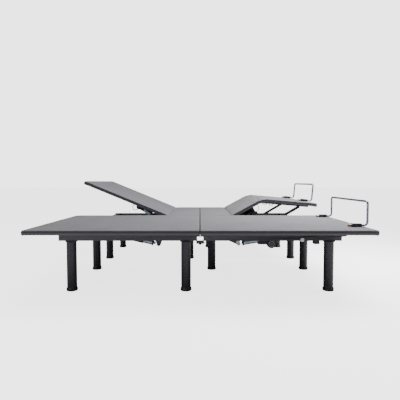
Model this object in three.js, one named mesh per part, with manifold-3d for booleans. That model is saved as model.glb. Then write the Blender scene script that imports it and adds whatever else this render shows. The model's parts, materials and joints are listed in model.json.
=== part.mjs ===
// Adjustable bed base, twin pair: two powered twin XL bases that stand side by side.
// Millimetres. +Z is up, +X points to the foot end, the origin is on the floor at the centre.
// The near base (-Y) lies flat, the far base (+Y) has its back and its legs raised.

import * as THREE from 'three';
import { mergeVertices } from 'three/addons/utils/BufferGeometryUtils.js';
import Module from 'manifold-3d';

const wasm = await Module();
wasm.setup();

// ---- Driving dimensions ----

const BASE_LENGTH = 2030;
const BASE_WIDTH = 955;
const BASE_PITCH = 970;
const GAP = 0.3;

const DECK_TOP = 395;
const DECK_THICKNESS = 30;
const DECK_CORNER = 42;
const DECK_EDGE = 10;
// Half the gap that each fold needs between its two panels.
const BACK_GAP = 19;
const THIGH_GAP = 11;
const KNEE_GAP = 9;
const CENTRE_GAP = 1.5;

const RAIL_TOP = 347;
const RAIL_HEIGHT = 40;
const RAIL_WIDTH = 30;
const RAIL_Y = 280;
const RAIL_END = 857;
const RAIL_INNER_END = 21;

const HINGE_X = 265;
const HINGE_Z = 356;
const KNEE_X = 556;
const KNEE_Z = 387;

const STRUT_FOOT = [616, 315];
const STRUT_HEAD = [878, 348];
const STRUT_WIDTH = 24;
const STRUT_THICKNESS = 5;

const BACK_MOTOR_PIVOT = [-568, 308];
const BACK_ANCHOR = [-283, 240];
const LEG_MOTOR_PIVOT = [488, 280];
const LEG_ANCHOR = [262, 243];

const LEG_X = 785;
const MID_LEG_X = 87;
const LEG_RADIUS = 30;

const BAR_RADIUS = 7;
const BAR_SPAN = 620;
const BAR_X = 1004;
const BAR_TOP = 547;

// ---- Motion: each ratio is per radian of the lift that it follows ----

const BACK_MOTOR_RATIO = -0.14;
const BACK_ROD_RATE = 103;
const LEG_MOTOR_RATIO = 0.1685;
const LEG_ROD_RATE = 102.9;
const KNEE_RATIO = 1.172;
const STRUT_RATIO = 0.815;

const NEAR_LIFTS = { back: 0, thigh: 0 };
const FAR_LIFTS = { back: 22.4, thigh: 28.5 };

// ---- Heights worked out from the driving dimensions ----

const DECK_BOTTOM = DECK_TOP - DECK_THICKNESS;
const RAIL_BOTTOM = RAIL_TOP - RAIL_HEIGHT;
const FRAME_TOP = DECK_BOTTOM - GAP;
const LIFT_BOTTOM = RAIL_TOP + GAP;
const DECK_END = BASE_LENGTH / 2;
const RAIL_OUTER_Y = RAIL_Y + RAIL_WIDTH / 2;
const RAIL_INNER_Y = RAIL_Y - RAIL_WIDTH / 2;

// ---- Materials ----

const finish = (color, roughness, metalness = 0) =>
  new THREE.MeshStandardMaterial({ color, roughness, metalness });

const FABRIC = finish(0x8f8f98, 0.95);
const FRAME_PAINT = finish(0x26272b, 0.5, 0.3);
const LEG_PLASTIC = finish(0x111114, 0.25);
const MOTOR_PLASTIC = finish(0x1c1c1f, 0.5);
const STEEL = finish(0x9aa2ad, 0.3, 0.9);
const CHROME = finish(0xd8dade, 0.12, 1.0);

// ---- Solids ----

const solid = (geometry) => {
  const bare = geometry.clone();
  bare.deleteAttribute('normal');
  bare.deleteAttribute('uv');
  const merged = mergeVertices(bare, 1e-4);
  const vertProperties = new Float32Array(merged.attributes.position.array);
  const triVerts = new Uint32Array(merged.index.array);
  return new wasm.Manifold(new wasm.Mesh({ numProp: 3, vertProperties, triVerts }));
};

const geometryOf = (manifold) => {
  const { vertProperties, triVerts } = manifold.getMesh();
  const geometry = new THREE.BufferGeometry();
  geometry.setAttribute('position', new THREE.BufferAttribute(vertProperties, 3));
  geometry.setIndex(new THREE.BufferAttribute(triVerts, 1));
  return geometry;
};

const join = (pieces, cuts = []) => {
  const whole = pieces.slice(1).reduce((sum, piece) => sum.add(solid(piece)), solid(pieces[0]));
  return geometryOf(cuts.reduce((rest, cut) => rest.subtract(solid(cut)), whole));
};

const block = (x0, x1, y0, y1, z0, z1) => {
  const box = new THREE.BoxGeometry(x1 - x0, y1 - y0, z1 - z0);
  return box.translate((x0 + x1) / 2, (y0 + y1) / 2, (z0 + z1) / 2);
};

// A flat plate with its outline in the XZ plane, from y0 to y1.
const plate = (outline, y0, y1, holes = []) => {
  const shape = new THREE.Shape(outline.map(([x, z]) => new THREE.Vector2(x, z)));
  holes.forEach(([x, z, r]) => shape.holes.push(new THREE.Path().absarc(x, z, r, 0, 2 * Math.PI)));
  const body = new THREE.ExtrudeGeometry(shape, { depth: y1 - y0, bevelEnabled: false, curveSegments: 6 });
  return body.rotateX(Math.PI / 2).translate(0, y1, 0);
};

// A round bar along Y.
const pin = (x, z, radius, y0, y1, sides = 12) =>
  new THREE.CylinderGeometry(radius, radius, y1 - y0, sides).translate(0, (y0 + y1) / 2, 0).translate(x, 0, z);

// A round bar in the XZ plane between two points, at y.
const shaft = (from, to, radius, y = 0, sides = 16) => {
  const span = new THREE.Vector3(to[0] - from[0], 0, to[1] - from[1]);
  const bar = new THREE.CylinderGeometry(radius, radius, span.length(), sides);
  const turn = new THREE.Quaternion().setFromUnitVectors(new THREE.Vector3(0, 1, 0), span.clone().normalize());
  return bar.applyQuaternion(turn).translate((from[0] + to[0]) / 2, y, (from[1] + to[1]) / 2);
};

// A flat bar with round ends between two XZ points.
const link = (from, to, width, y0, y1, holes = []) => {
  const angle = Math.atan2(to[1] - from[1], to[0] - from[0]);
  const length = Math.hypot(to[0] - from[0], to[1] - from[1]);
  const shape = new THREE.Shape();
  shape.absarc(0, 0, width / 2, Math.PI / 2, 1.5 * Math.PI);
  shape.absarc(length, 0, width / 2, -Math.PI / 2, Math.PI / 2);
  holes.forEach(([along, r]) => shape.holes.push(new THREE.Path().absarc(along, 0, r, 0, 2 * Math.PI)));
  const bar = new THREE.ExtrudeGeometry(shape, { depth: y1 - y0, bevelEnabled: false, curveSegments: 6 });
  return bar.rotateZ(angle).rotateX(Math.PI / 2).translate(from[0], y1, from[1]);
};

// A point at a distance along the line from one XZ point to another.
const along = (from, to, distance) => {
  const length = Math.hypot(to[0] - from[0], to[1] - from[1]);
  return [0, 1].map((i) => from[i] + ((to[i] - from[i]) * distance) / length);
};

// What make(side) returns, for both sides of a base.
const mirrored = (make) => [make(1), make(-1)].flat();

const sideSpan = (side, [y0, y1]) => (side > 0 ? [y0, y1] : [-y1, -y0]);

// ---- Placing ----

const named = (name, geometry, material) => {
  const mesh = new THREE.Mesh(geometry, material);
  mesh.name = name;
  return mesh;
};

// A group turned about an XZ pivot. What it holds keeps its flat position. Positive turns lift the head side.
const turned = (parent, [x, z], angle) => {
  const pivot = new THREE.Group();
  pivot.position.set(x, 0, z);
  pivot.rotation.y = angle;
  const contents = new THREE.Group();
  contents.position.set(-x, 0, -z);
  pivot.add(contents);
  parent.add(pivot);
  return contents;
};

const slid = (parent, [x, z], distance) => {
  const contents = new THREE.Group();
  contents.position.set(x * distance, 0, z * distance);
  parent.add(contents);
  return contents;
};

const direction = (from, to) => {
  const length = Math.hypot(to[0] - from[0], to[1] - from[1]);
  return [(to[0] - from[0]) / length, (to[1] - from[1]) / length];
};

// ---- Upholstered deck panels ----

// The knee's ears stand up into slots in the panels on either side of it.
const KNEE_NOTCH = { half: 30, y0: 236, y1: 257 };

const deckPanel = (x0, x1, roundedSide, besideKnee = false) => {
  const inset = DECK_EDGE;
  const half = BASE_WIDTH / 2 - inset;
  const [a, b] = [x0 + inset, x1 - inset];
  const radius = DECK_CORNER - inset;
  const shape = new THREE.Shape();
  if (roundedSide === 'head') {
    shape.moveTo(b, -half).lineTo(b, half).lineTo(a + radius, half);
    shape.absarc(a + radius, half - radius, radius, Math.PI / 2, Math.PI);
    shape.absarc(a + radius, -half + radius, radius, Math.PI, 1.5 * Math.PI);
  } else if (roundedSide === 'foot') {
    shape.moveTo(a, half).lineTo(a, -half).lineTo(b - radius, -half);
    shape.absarc(b - radius, -half + radius, radius, -Math.PI / 2, 0);
    shape.absarc(b - radius, half - radius, radius, 0, Math.PI / 2);
  } else {
    shape.moveTo(a, -half).lineTo(b, -half).lineTo(b, half).lineTo(a, half);
  }
  const panel = new THREE.ExtrudeGeometry(shape, {
    depth: DECK_THICKNESS - 2 * inset,
    bevelThickness: inset,
    bevelSize: inset,
    bevelSegments: 2,
    curveSegments: 3,
  });
  panel.translate(0, 0, DECK_BOTTOM + inset);
  if (!besideKnee) return join([panel]);
  const notches = mirrored((side) => {
    const [y0, y1] = sideSpan(side, [KNEE_NOTCH.y0, KNEE_NOTCH.y1]);
    return [block(KNEE_X - KNEE_NOTCH.half, KNEE_X + KNEE_NOTCH.half, y0, y1, DECK_BOTTOM - 1, DECK_TOP + 1)];
  });
  return join([panel], notches);
};

// ---- Hinge ears: a pair of steel plates on one pin, once on each side of the base ----

const EAR = { fixedY: [240, 246], movingY: [247, 253], width: 13, pin: 3.5, clearance: 0.4 };
const KNEE_EAR = { reach: 27, width: 10, pin: 2.5 };

// A fixed ear and its pin. root is the XZ point inside the tube that the ear stands on.
const fixedEars = ([x, z], root, width = EAR.width, pinRadius = EAR.pin) =>
  mirrored((side) => {
    const [y0, y1] = sideSpan(side, EAR.fixedY);
    const [p0, p1] = sideSpan(side, [EAR.fixedY[0] + 1, EAR.movingY[1] + 2]);
    return [link([x, z], root, width, y0, y1), pin(x, z, pinRadius, p0, p1)];
  });

const movingEars = ([x, z], root, width = EAR.width, pinRadius = EAR.pin) =>
  mirrored((side) => {
    const [y0, y1] = sideSpan(side, EAR.movingY);
    return [link([x, z], root, width, y0, y1, [[0, pinRadius + EAR.clearance]])];
  });

// ---- Main frames ----

const CROSS_WIDTH = 34;
const BEARER_WIDTH = 30;
const EAR_ROOT = 20;

const rails = (x0, x1) =>
  mirrored((side) => {
    const [y0, y1] = sideSpan(side, [RAIL_INNER_Y, RAIL_OUTER_Y]);
    return [block(x0, x1, y0, y1, RAIL_BOTTOM, RAIL_TOP)];
  });

const CROSS_INSET = 2;

const crossTube = (x) =>
  block(x - CROSS_WIDTH / 2, x + CROSS_WIDTH / 2, -RAIL_INNER_Y, RAIL_INNER_Y,
    RAIL_BOTTOM + CROSS_INSET, RAIL_TOP - CROSS_INSET);

const bearer = (x) =>
  block(x - BEARER_WIDTH / 2, x + BEARER_WIDTH / 2, -RAIL_OUTER_Y, RAIL_OUTER_Y, RAIL_TOP - 1, FRAME_TOP);

// A V-shaped lever: two plates that hang from a cross tube and carry the anchor pin of a push rod.
const LEVER = { y0: 14, y1: 19, root: 10, pin: 5, tipHalf: 9, tipShoulder: 5, tipDrop: 10 };

// half is the plates' half width at the tube, and heel is extra outline on their seat side.
const lever = ([x, z], baseX, half, heel = []) => {
  const top = RAIL_BOTTOM + LEVER.root;
  const outline = [
    [baseX - half, top],
    ...heel,
    [x - LEVER.tipHalf, z - LEVER.tipShoulder],
    [x, z - LEVER.tipDrop],
    [x + LEVER.tipHalf, z - LEVER.tipShoulder],
    [baseX + half, top],
  ];
  const cheeks = mirrored((side) => {
    const [y0, y1] = sideSpan(side, [LEVER.y0, LEVER.y1]);
    return [plate(outline, y0, y1)];
  });
  return [...cheeks, pin(x, z, LEVER.pin, -LEVER.y1 - 3, LEVER.y1 + 3)];
};

// A tab on each frame half closes most of the space between the rail ends, under the seat decks.
const JOINT_TAB = { near: 0.6, far: 30, bottom: 332 };

const jointTabs = (outward) =>
  mirrored((side) => {
    const [x0, x1] = [outward * JOINT_TAB.near, outward * JOINT_TAB.far].sort((a, b) => a - b);
    const [y0, y1] = sideSpan(side, [RAIL_INNER_Y + 1, RAIL_OUTER_Y - 1]);
    return [block(x0, x1, y0, y1, JOINT_TAB.bottom, FRAME_TOP)];
  });

const HEAD_END_CROSS = -820;
const BACK_LEVER_CROSS = -283;
const HEAD_SPLICE_CROSS = -44;
const HEAD_BEARERS = [-236, -44];

const headFrame = () => {
  const crosses = [HEAD_END_CROSS, BACK_LEVER_CROSS, HEAD_SPLICE_CROSS];
  return join([
    ...rails(-RAIL_END, -RAIL_INNER_END),
    ...jointTabs(-1),
    ...crosses.map(crossTube),
    ...HEAD_BEARERS.map(bearer),
    ...lever(BACK_ANCHOR, BACK_LEVER_CROSS, 44),
    ...fixedEars([-HINGE_X, HINGE_Z], [-HINGE_X + EAR_ROOT, HINGE_Z]),
  ]);
};

const FOOT_END_CROSS = 820;
const LEG_LEVER_CROSS = 238;
const LEG_LEVER_HEEL = [[208, 305], [186, 299], [186, 268]];
const FOOT_SPLICE_CROSS = 44;
const FOOT_BEARERS = [44, 236];

// The strut pivots are bolts through the outer faces of the rails.
const STRUT_BOLT = 6;
const STRUT_Y = [RAIL_OUTER_Y + 3, RAIL_OUTER_Y + 3 + STRUT_THICKNESS];

const footFrame = () => {
  const crosses = [FOOT_SPLICE_CROSS, LEG_LEVER_CROSS, FOOT_END_CROSS];
  const bolts = mirrored((side) => {
    const [y0, y1] = sideSpan(side, [RAIL_INNER_Y - 4, STRUT_Y[1] + 2]);
    return [pin(STRUT_FOOT[0], STRUT_FOOT[1], STRUT_BOLT, y0, y1)];
  });
  return join([
    ...rails(RAIL_INNER_END, RAIL_END),
    ...jointTabs(1),
    ...crosses.map(crossTube),
    ...FOOT_BEARERS.map(bearer),
    ...lever(LEG_ANCHOR, LEG_LEVER_CROSS, 30, LEG_LEVER_HEEL),
    ...fixedEars([HINGE_X, HINGE_Z], [HINGE_X - EAR_ROOT, HINGE_Z]),
    ...bolts,
  ]);
};

// ---- Legs ----

// The foot cap is a little wider than the tube, and the top plate wider again.
const LEG_CAP = { radius: 34, straight: 17, shoulder: 21 };
const LEG_PLATE = { radius: 36, thickness: 5 };

const leg = () => {
  const top = RAIL_BOTTOM - GAP;
  const under = top - LEG_PLATE.thickness;
  const profile = [
    [0, 0], [LEG_CAP.radius, 0], [LEG_CAP.radius, LEG_CAP.straight], [LEG_RADIUS, LEG_CAP.shoulder],
    [LEG_RADIUS, under], [LEG_PLATE.radius, under], [LEG_PLATE.radius, top], [0, top],
  ];
  return new THREE.LatheGeometry(profile.map(([r, z]) => new THREE.Vector2(r, z)), 16).rotateX(Math.PI / 2);
};

const LEG_PLACES = [
  ['head_near', -LEG_X, -RAIL_Y],
  ['head_far', -LEG_X, RAIL_Y],
  ['mid_near', -MID_LEG_X, -RAIL_Y],
  ['mid_far', MID_LEG_X, RAIL_Y],
  ['foot_near', LEG_X, -RAIL_Y],
  ['foot_far', LEG_X, RAIL_Y],
];

// ---- Lift frames under the moving panels ----

// A flat ladder of welded tube: a slab with a window between each pair of cross tubes.
const ladder = ({ x0, x1, crosses }) => {
  const windows = crosses.slice(1).flatMap((x, i) => {
    const [a, b] = [crosses[i] + BEARER_WIDTH / 2, x - BEARER_WIDTH / 2];
    return b > a ? [block(a, b, -RAIL_INNER_Y, RAIL_INNER_Y, LIFT_BOTTOM - 1, FRAME_TOP + 1)] : [];
  });
  return join([block(x0, x1, -RAIL_OUTER_Y, RAIL_OUTER_Y, LIFT_BOTTOM, FRAME_TOP)], windows);
};

// Two plates that hang from a lift frame and hold the rear end of an actuator.
const HANGER = { y0: 27, y1: 32, pin: 5, pinStart: 11, pinOut: 4, topHalf: 13, half: 12, tipHalf: 6 };
const HANGER_TIP = { shoulder: 4, drop: 11, root: 4 };

// A gusset beside the actuator, from the lift frame's middle cross tube towards the hinge line.
const GUSSET = { top: 2, low: 110, end: 190, endDrop: 22 };
const BACK_GUSSET = { y: [102, 107], rise: -18 };
const LEG_GUSSET = { y: [27, 32], rise: 8 };

const hangerPlate = ([x, z]) => [
  [x - HANGER.topHalf, FRAME_TOP - HANGER_TIP.root],
  [x - HANGER.half, z - HANGER_TIP.shoulder],
  [x - HANGER.tipHalf, z - HANGER_TIP.drop],
  [x + HANGER.tipHalf, z - HANGER_TIP.drop],
  [x + HANGER.half, z - HANGER_TIP.shoulder],
  [x + HANGER.topHalf, FRAME_TOP - HANGER_TIP.root],
];

const gusset = ([x, z], towards, sizes) => {
  const top = LIFT_BOTTOM - GUSSET.top;
  const root = FRAME_TOP - HANGER_TIP.root;
  const half = towards * HANGER.topHalf;
  return plate([
    [x - half, root],
    [x - half, z - HANGER_TIP.shoulder],
    [x + towards * GUSSET.low, z + sizes.rise],
    [x + towards * GUSSET.end, top - GUSSET.endDrop],
    [x + towards * GUSSET.end, top],
    [x + half, top],
    [x + half, root],
  ], ...sizes.y);
};

const hanger = (pivot) =>
  mirrored((side) => {
    const [y0, y1] = sideSpan(side, [HANGER.y0, HANGER.y1]);
    const [p0, p1] = sideSpan(side, [HANGER.pinStart, HANGER.y1 + HANGER.pinOut]);
    return [plate(hangerPlate(pivot), y0, y1), pin(pivot[0], pivot[1], HANGER.pin, p0, p1)];
  });

const liftFrame = (x0, x1, middle) => ({
  x0,
  x1,
  crosses: [x0 + BEARER_WIDTH / 2, ...middle, x1 - BEARER_WIDTH / 2],
});

const KNEE_FRAME_GAP = 18;
const BACK_FRAME = liftFrame(-985, -HINGE_X - 10, [BACK_MOTOR_PIVOT[0]]);
const THIGH_FRAME = liftFrame(HINGE_X + 10, KNEE_X - KNEE_FRAME_GAP, [LEG_MOTOR_PIVOT[0]]);
const CALF_FRAME = liftFrame(KNEE_X + KNEE_FRAME_GAP, 985, []);
const LIFT_MIDDLE = (LIFT_BOTTOM + FRAME_TOP) / 2;

const backLiftFrame = () => join([
  ladder(BACK_FRAME),
  ...hanger(BACK_MOTOR_PIVOT),
  gusset(BACK_MOTOR_PIVOT, 1, BACK_GUSSET),
  ...movingEars([-HINGE_X, HINGE_Z], [-HINGE_X - EAR_ROOT, HINGE_Z]),
]);

const thighLiftFrame = () => join([
  ladder(THIGH_FRAME),
  ...hanger(LEG_MOTOR_PIVOT),
  gusset(LEG_MOTOR_PIVOT, -1, LEG_GUSSET),
  ...movingEars([HINGE_X, HINGE_Z], [HINGE_X + EAR_ROOT, HINGE_Z]),
  ...fixedEars([KNEE_X, KNEE_Z], [KNEE_X - KNEE_EAR.reach, LIFT_MIDDLE], KNEE_EAR.width, KNEE_EAR.pin),
]);

const calfLiftFrame = () => join([
  ladder(CALF_FRAME),
  ...movingEars([KNEE_X, KNEE_Z], [KNEE_X + KNEE_EAR.reach, LIFT_MIDDLE], KNEE_EAR.width, KNEE_EAR.pin),
]);

// ---- Actuators: a gearmotor with a guide tube, and a push rod that slides in it ----

const ROD_RADIUS = 9;
const TUBE_RADIUS = 17;
const HOUSING_RADIUS = 20;
const ROD_STOP = 22;

const CASE_HALF = 21;
const MOTOR_LENGTH = 78;
const MOTOR_SINK = 8;
const POD_HALF = 17;

const actuatorBody = (pivot, anchor, sizes) => {
  const at = (distance) => along(pivot, anchor, distance);
  const beside = ([dx, dz]) => [pivot[0] + dx, pivot[1] + dz];
  const gear = beside(sizes.gearOffset);
  const motor = beside(sizes.motorOffset);
  const pieces = [
    link(pivot, gear, 28, -CASE_HALF, CASE_HALF),
    pin(gear[0], gear[1], sizes.gearRadius, -CASE_HALF, CASE_HALF, 20),
    pin(motor[0], motor[1], sizes.motorRadius, CASE_HALF - MOTOR_SINK, CASE_HALF + MOTOR_LENGTH, 16),
    shaft(at(10), at(sizes.housingEnd), HOUSING_RADIUS),
    shaft(at(sizes.housingEnd - 4), at(sizes.tubeEnd), TUBE_RADIUS),
    shaft(at(sizes.tubeEnd - 9), at(sizes.tubeEnd), TUBE_RADIUS + 3),
  ];
  if (sizes.pod) {
    const [[x0, x1], [z0, z1]] = [sizes.pod.x, sizes.pod.z];
    pieces.push(block(pivot[0] + x0, pivot[0] + x1, -POD_HALF, POD_HALF, pivot[1] + z0, pivot[1] + z1));
  }
  const rodBore = shaft(at(sizes.boreStart), at(sizes.tubeEnd + 5), ROD_RADIUS + 0.6);
  const pinBores = mirrored((side) => {
    const [y0, y1] = sideSpan(side, [HANGER.pinStart - 2, CASE_HALF + 1]);
    return [pin(pivot[0], pivot[1], HANGER.pin + 0.5, y0, y1)];
  });
  return join(pieces, [rodBore, ...pinBores]);
};

const actuatorRod = (pivot, anchor, sizes) => {
  const length = Math.hypot(anchor[0] - pivot[0], anchor[1] - pivot[1]);
  return shaft(along(pivot, anchor, sizes.rodStart), along(pivot, anchor, length - ROD_STOP), ROD_RADIUS);
};

const BACK_ACTUATOR = {
  gearOffset: [-8, 2], gearRadius: 28, motorOffset: [46, 0], motorRadius: 22,
  housingEnd: 182, tubeEnd: 257, boreStart: 60, rodStart: 66,
};

const LEG_ACTUATOR = {
  gearOffset: [-2, -37], gearRadius: 32, motorOffset: [-2, -42], motorRadius: 24,
  housingEnd: 90, tubeEnd: 203, boreStart: 40, rodStart: 46,
  pod: { x: [-96, -30], z: [-42, -16] },
};

// ---- Struts between the main frame and the calf section ----

// A flat bar. The stub at its head stands for the bolt that ties it to the calf frame beside it.
const STRUT_STUB = { radius: 5, length: 4 };

const strut = (side) => {
  const [y0, y1] = sideSpan(side, STRUT_Y);
  const [p0, p1] = sideSpan(side, [STRUT_Y[0] + 1, STRUT_Y[1] + STRUT_STUB.length]);
  const bar = link(STRUT_FOOT, STRUT_HEAD, STRUT_WIDTH, y0, y1, [[0, STRUT_BOLT + EAR.clearance]]);
  return join([bar, pin(STRUT_HEAD[0], STRUT_HEAD[1], STRUT_STUB.radius, p0, p1)]);
};

// ---- Mattress retainer ----

const BAR_BEND = 20;
const BAR_START = 888;
const BAR_Z = DECK_TOP + BAR_RADIUS + 3;

// A path of straight stretches with each inner corner rounded off.
const roundedPath = (corners, bend) => {
  const path = new THREE.CurvePath();
  let last = corners[0];
  for (let i = 1; i < corners.length - 1; i += 1) {
    const into = corners[i].clone().sub(corners[i - 1]).normalize();
    const out = corners[i + 1].clone().sub(corners[i]).normalize();
    const before = corners[i].clone().addScaledVector(into, -bend);
    const after = corners[i].clone().addScaledVector(out, bend);
    path.add(new THREE.LineCurve3(last, before));
    path.add(new THREE.QuadraticBezierCurve3(before, corners[i], after));
    last = after;
  }
  path.add(new THREE.LineCurve3(last, corners[corners.length - 1]));
  return path;
};

const tube = (path, radius, steps, curveSegments) => {
  const section = new THREE.Shape().absarc(0, 0, radius, 0, 2 * Math.PI);
  return new THREE.ExtrudeGeometry(section, { steps, extrudePath: path, curveSegments });
};

const retainerBar = () => {
  const half = BAR_SPAN / 2;
  const corners = [
    [BAR_START, -half, BAR_Z], [BAR_X, -half, BAR_Z], [BAR_X, -half, BAR_TOP],
    [BAR_X, half, BAR_TOP], [BAR_X, half, BAR_Z], [BAR_START, half, BAR_Z],
  ].map((corner) => new THREE.Vector3(...corner));
  return tube(roundedPath(corners, BAR_BEND), BAR_RADIUS, 60, 4);
};

const SOCKET = { x0: 908, x1: 968, half: 12, height: 21 };

const retainerSocket = (side) => {
  const y = (side * BAR_SPAN) / 2;
  const shell = block(SOCKET.x0, SOCKET.x1, y - SOCKET.half, y + SOCKET.half, DECK_TOP + GAP, DECK_TOP + SOCKET.height);
  const bore = new THREE.CylinderGeometry(BAR_RADIUS + 0.6, BAR_RADIUS + 0.6, 100, 12).rotateZ(Math.PI / 2);
  return join([shell], [bore.translate((SOCKET.x0 + SOCKET.x1) / 2, y, BAR_Z)]);
};

// ---- Small pieces on the main frame ----

const SPLICE = { half: 24, inset: 2, thickness: 12 };

// Radius and depth below the plate, from the knob's foot up to its root inside the plate.
const KNOB = [[0, 15], [6, 13.5], [9, 10], [9, 5], [5, 2], [5, -3], [0, -3]];

// A steel channel under the rail ends that ties the two frame halves together.
const joiningBracket = (side) => {
  const [y0, y1] = sideSpan(side, [RAIL_INNER_Y + SPLICE.inset, RAIL_OUTER_Y - SPLICE.inset]);
  const top = RAIL_BOTTOM - GAP;
  const bottom = top - SPLICE.thickness;
  const profile = KNOB.map(([r, depth]) => new THREE.Vector2(r, bottom - depth));
  const knob = new THREE.LatheGeometry(profile, 16).rotateX(Math.PI / 2).translate(0, (y0 + y1) / 2, 0);
  return join([block(-SPLICE.half, SPLICE.half, y0, y1, bottom, top), knob]);
};

const SOCKET_RECESS = { side: 9, depth: 8, lid: 5 };
const CONTROL_BOX = { x0: 690, x1: 724, y0: -297, y1: -255, height: 20 };

const controlBox = () => {
  const { x0, x1, y0, y1, height } = CONTROL_BOX;
  const top = RAIL_BOTTOM - GAP;
  const { side, depth, lid } = SOCKET_RECESS;
  const recess = block(x0 + side, x1 - side, y1 - depth, y1 + 1, top - height + lid, top - lid);
  return join([block(x0, x1, y0, y1, top - height, top)], [recess]);
};

// ---- One base ----

const buildBase = (name, y, lifts) => {
  const base = new THREE.Group();
  base.position.y = y;
  const add = (parent, piece, geometry, material) => parent.add(named(`${name}_${piece}`, geometry, material));
  const back = THREE.MathUtils.degToRad(lifts.back);
  const thigh = THREE.MathUtils.degToRad(lifts.thigh);

  add(base, 'head_frame', headFrame(), FRAME_PAINT);
  add(base, 'foot_frame', footFrame(), FRAME_PAINT);
  LEG_PLACES.forEach(([place, x, legY]) => add(base, `leg_${place}`, leg().translate(x, legY, 0), LEG_PLASTIC));
  add(base, 'joining_bracket_near', joiningBracket(-1), FRAME_PAINT);
  add(base, 'joining_bracket_far', joiningBracket(1), FRAME_PAINT);
  add(base, 'control_box', controlBox(), MOTOR_PLASTIC);

  add(base, 'seat_deck_head', deckPanel(-HINGE_X + BACK_GAP, -CENTRE_GAP, 'none'), FABRIC);
  add(base, 'seat_deck_foot', deckPanel(CENTRE_GAP, HINGE_X - THIGH_GAP, 'none'), FABRIC);

  const backSection = turned(base, [-HINGE_X, HINGE_Z], back);
  add(backSection, 'back_deck', deckPanel(-DECK_END, -HINGE_X - BACK_GAP, 'head'), FABRIC);
  add(backSection, 'back_lift_frame', backLiftFrame(), FRAME_PAINT);
  const backMotor = turned(backSection, BACK_MOTOR_PIVOT, BACK_MOTOR_RATIO * back);
  add(backMotor, 'back_motor', actuatorBody(BACK_MOTOR_PIVOT, BACK_ANCHOR, BACK_ACTUATOR), MOTOR_PLASTIC);
  const backRod = slid(backMotor, direction(BACK_MOTOR_PIVOT, BACK_ANCHOR), BACK_ROD_RATE * back);
  add(backRod, 'back_push_rod', actuatorRod(BACK_MOTOR_PIVOT, BACK_ANCHOR, BACK_ACTUATOR), STEEL);

  const thighSection = turned(base, [HINGE_X, HINGE_Z], -thigh);
  add(thighSection, 'thigh_deck', deckPanel(HINGE_X + THIGH_GAP, KNEE_X - KNEE_GAP, 'none', true), FABRIC);
  add(thighSection, 'thigh_lift_frame', thighLiftFrame(), FRAME_PAINT);
  const legMotor = turned(thighSection, LEG_MOTOR_PIVOT, LEG_MOTOR_RATIO * thigh);
  add(legMotor, 'leg_motor', actuatorBody(LEG_MOTOR_PIVOT, LEG_ANCHOR, LEG_ACTUATOR), MOTOR_PLASTIC);
  const legRod = slid(legMotor, direction(LEG_MOTOR_PIVOT, LEG_ANCHOR), LEG_ROD_RATE * thigh);
  add(legRod, 'leg_push_rod', actuatorRod(LEG_MOTOR_PIVOT, LEG_ANCHOR, LEG_ACTUATOR), STEEL);

  const calfSection = turned(thighSection, [KNEE_X, KNEE_Z], KNEE_RATIO * thigh);
  add(calfSection, 'calf_deck', deckPanel(KNEE_X + KNEE_GAP, DECK_END, 'foot', true), FABRIC);
  add(calfSection, 'calf_lift_frame', calfLiftFrame(), FRAME_PAINT);
  add(calfSection, 'retainer_bar', retainerBar(), CHROME);
  add(calfSection, 'retainer_socket_near', retainerSocket(-1), MOTOR_PLASTIC);
  add(calfSection, 'retainer_socket_far', retainerSocket(1), MOTOR_PLASTIC);

  const struts = turned(base, STRUT_FOOT, -STRUT_RATIO * thigh);
  add(struts, 'strut_near', strut(-1), FRAME_PAINT);
  add(struts, 'strut_far', strut(1), FRAME_PAINT);
  return base;
};

// ---- The pair ----

const LINK_BAR = { x: 842, half: 14, thickness: 4 };

const linkBar = (x) => {
  const reach = BASE_PITCH / 2 - RAIL_INNER_Y;
  const top = RAIL_BOTTOM - GAP;
  return block(x - LINK_BAR.half, x + LINK_BAR.half, -reach, reach, top - LINK_BAR.thickness, top);
};

const bed = new THREE.Group();
bed.add(buildBase('near', -BASE_PITCH / 2, NEAR_LIFTS));
bed.add(buildBase('far', BASE_PITCH / 2, FAR_LIFTS));
bed.add(named('link_bar_head', linkBar(-LINK_BAR.x), FRAME_PAINT));
bed.add(named('link_bar_foot', linkBar(LINK_BAR.x), FRAME_PAINT));

export default bed;
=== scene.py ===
"""Looks for the twin pair of adjustable bed bases.

Upholstery, powder coat, moulded parts, plating and small fittings."""

import json
import math

import bmesh
import bpy
from mathutils import Matrix, Vector, noise


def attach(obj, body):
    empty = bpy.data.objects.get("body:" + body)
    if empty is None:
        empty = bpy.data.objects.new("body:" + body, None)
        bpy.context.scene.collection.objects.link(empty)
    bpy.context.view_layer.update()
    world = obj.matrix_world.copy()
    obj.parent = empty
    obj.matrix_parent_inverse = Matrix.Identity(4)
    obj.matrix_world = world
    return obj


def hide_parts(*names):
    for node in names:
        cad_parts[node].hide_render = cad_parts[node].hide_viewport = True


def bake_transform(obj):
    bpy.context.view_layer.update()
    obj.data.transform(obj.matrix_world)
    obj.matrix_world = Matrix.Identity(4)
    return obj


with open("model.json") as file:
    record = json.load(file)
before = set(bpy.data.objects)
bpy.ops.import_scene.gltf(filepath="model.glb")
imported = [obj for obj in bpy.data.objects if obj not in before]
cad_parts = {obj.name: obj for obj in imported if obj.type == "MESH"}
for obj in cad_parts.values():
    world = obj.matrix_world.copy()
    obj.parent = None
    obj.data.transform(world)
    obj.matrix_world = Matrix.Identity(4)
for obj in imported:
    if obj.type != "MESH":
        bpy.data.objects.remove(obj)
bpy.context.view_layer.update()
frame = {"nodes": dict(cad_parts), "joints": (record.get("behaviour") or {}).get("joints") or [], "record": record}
MM = 0.001

# ---- Driving sizes of one base, in millimetres, in the flat pose, with Y counted from the base's centre ----

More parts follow.
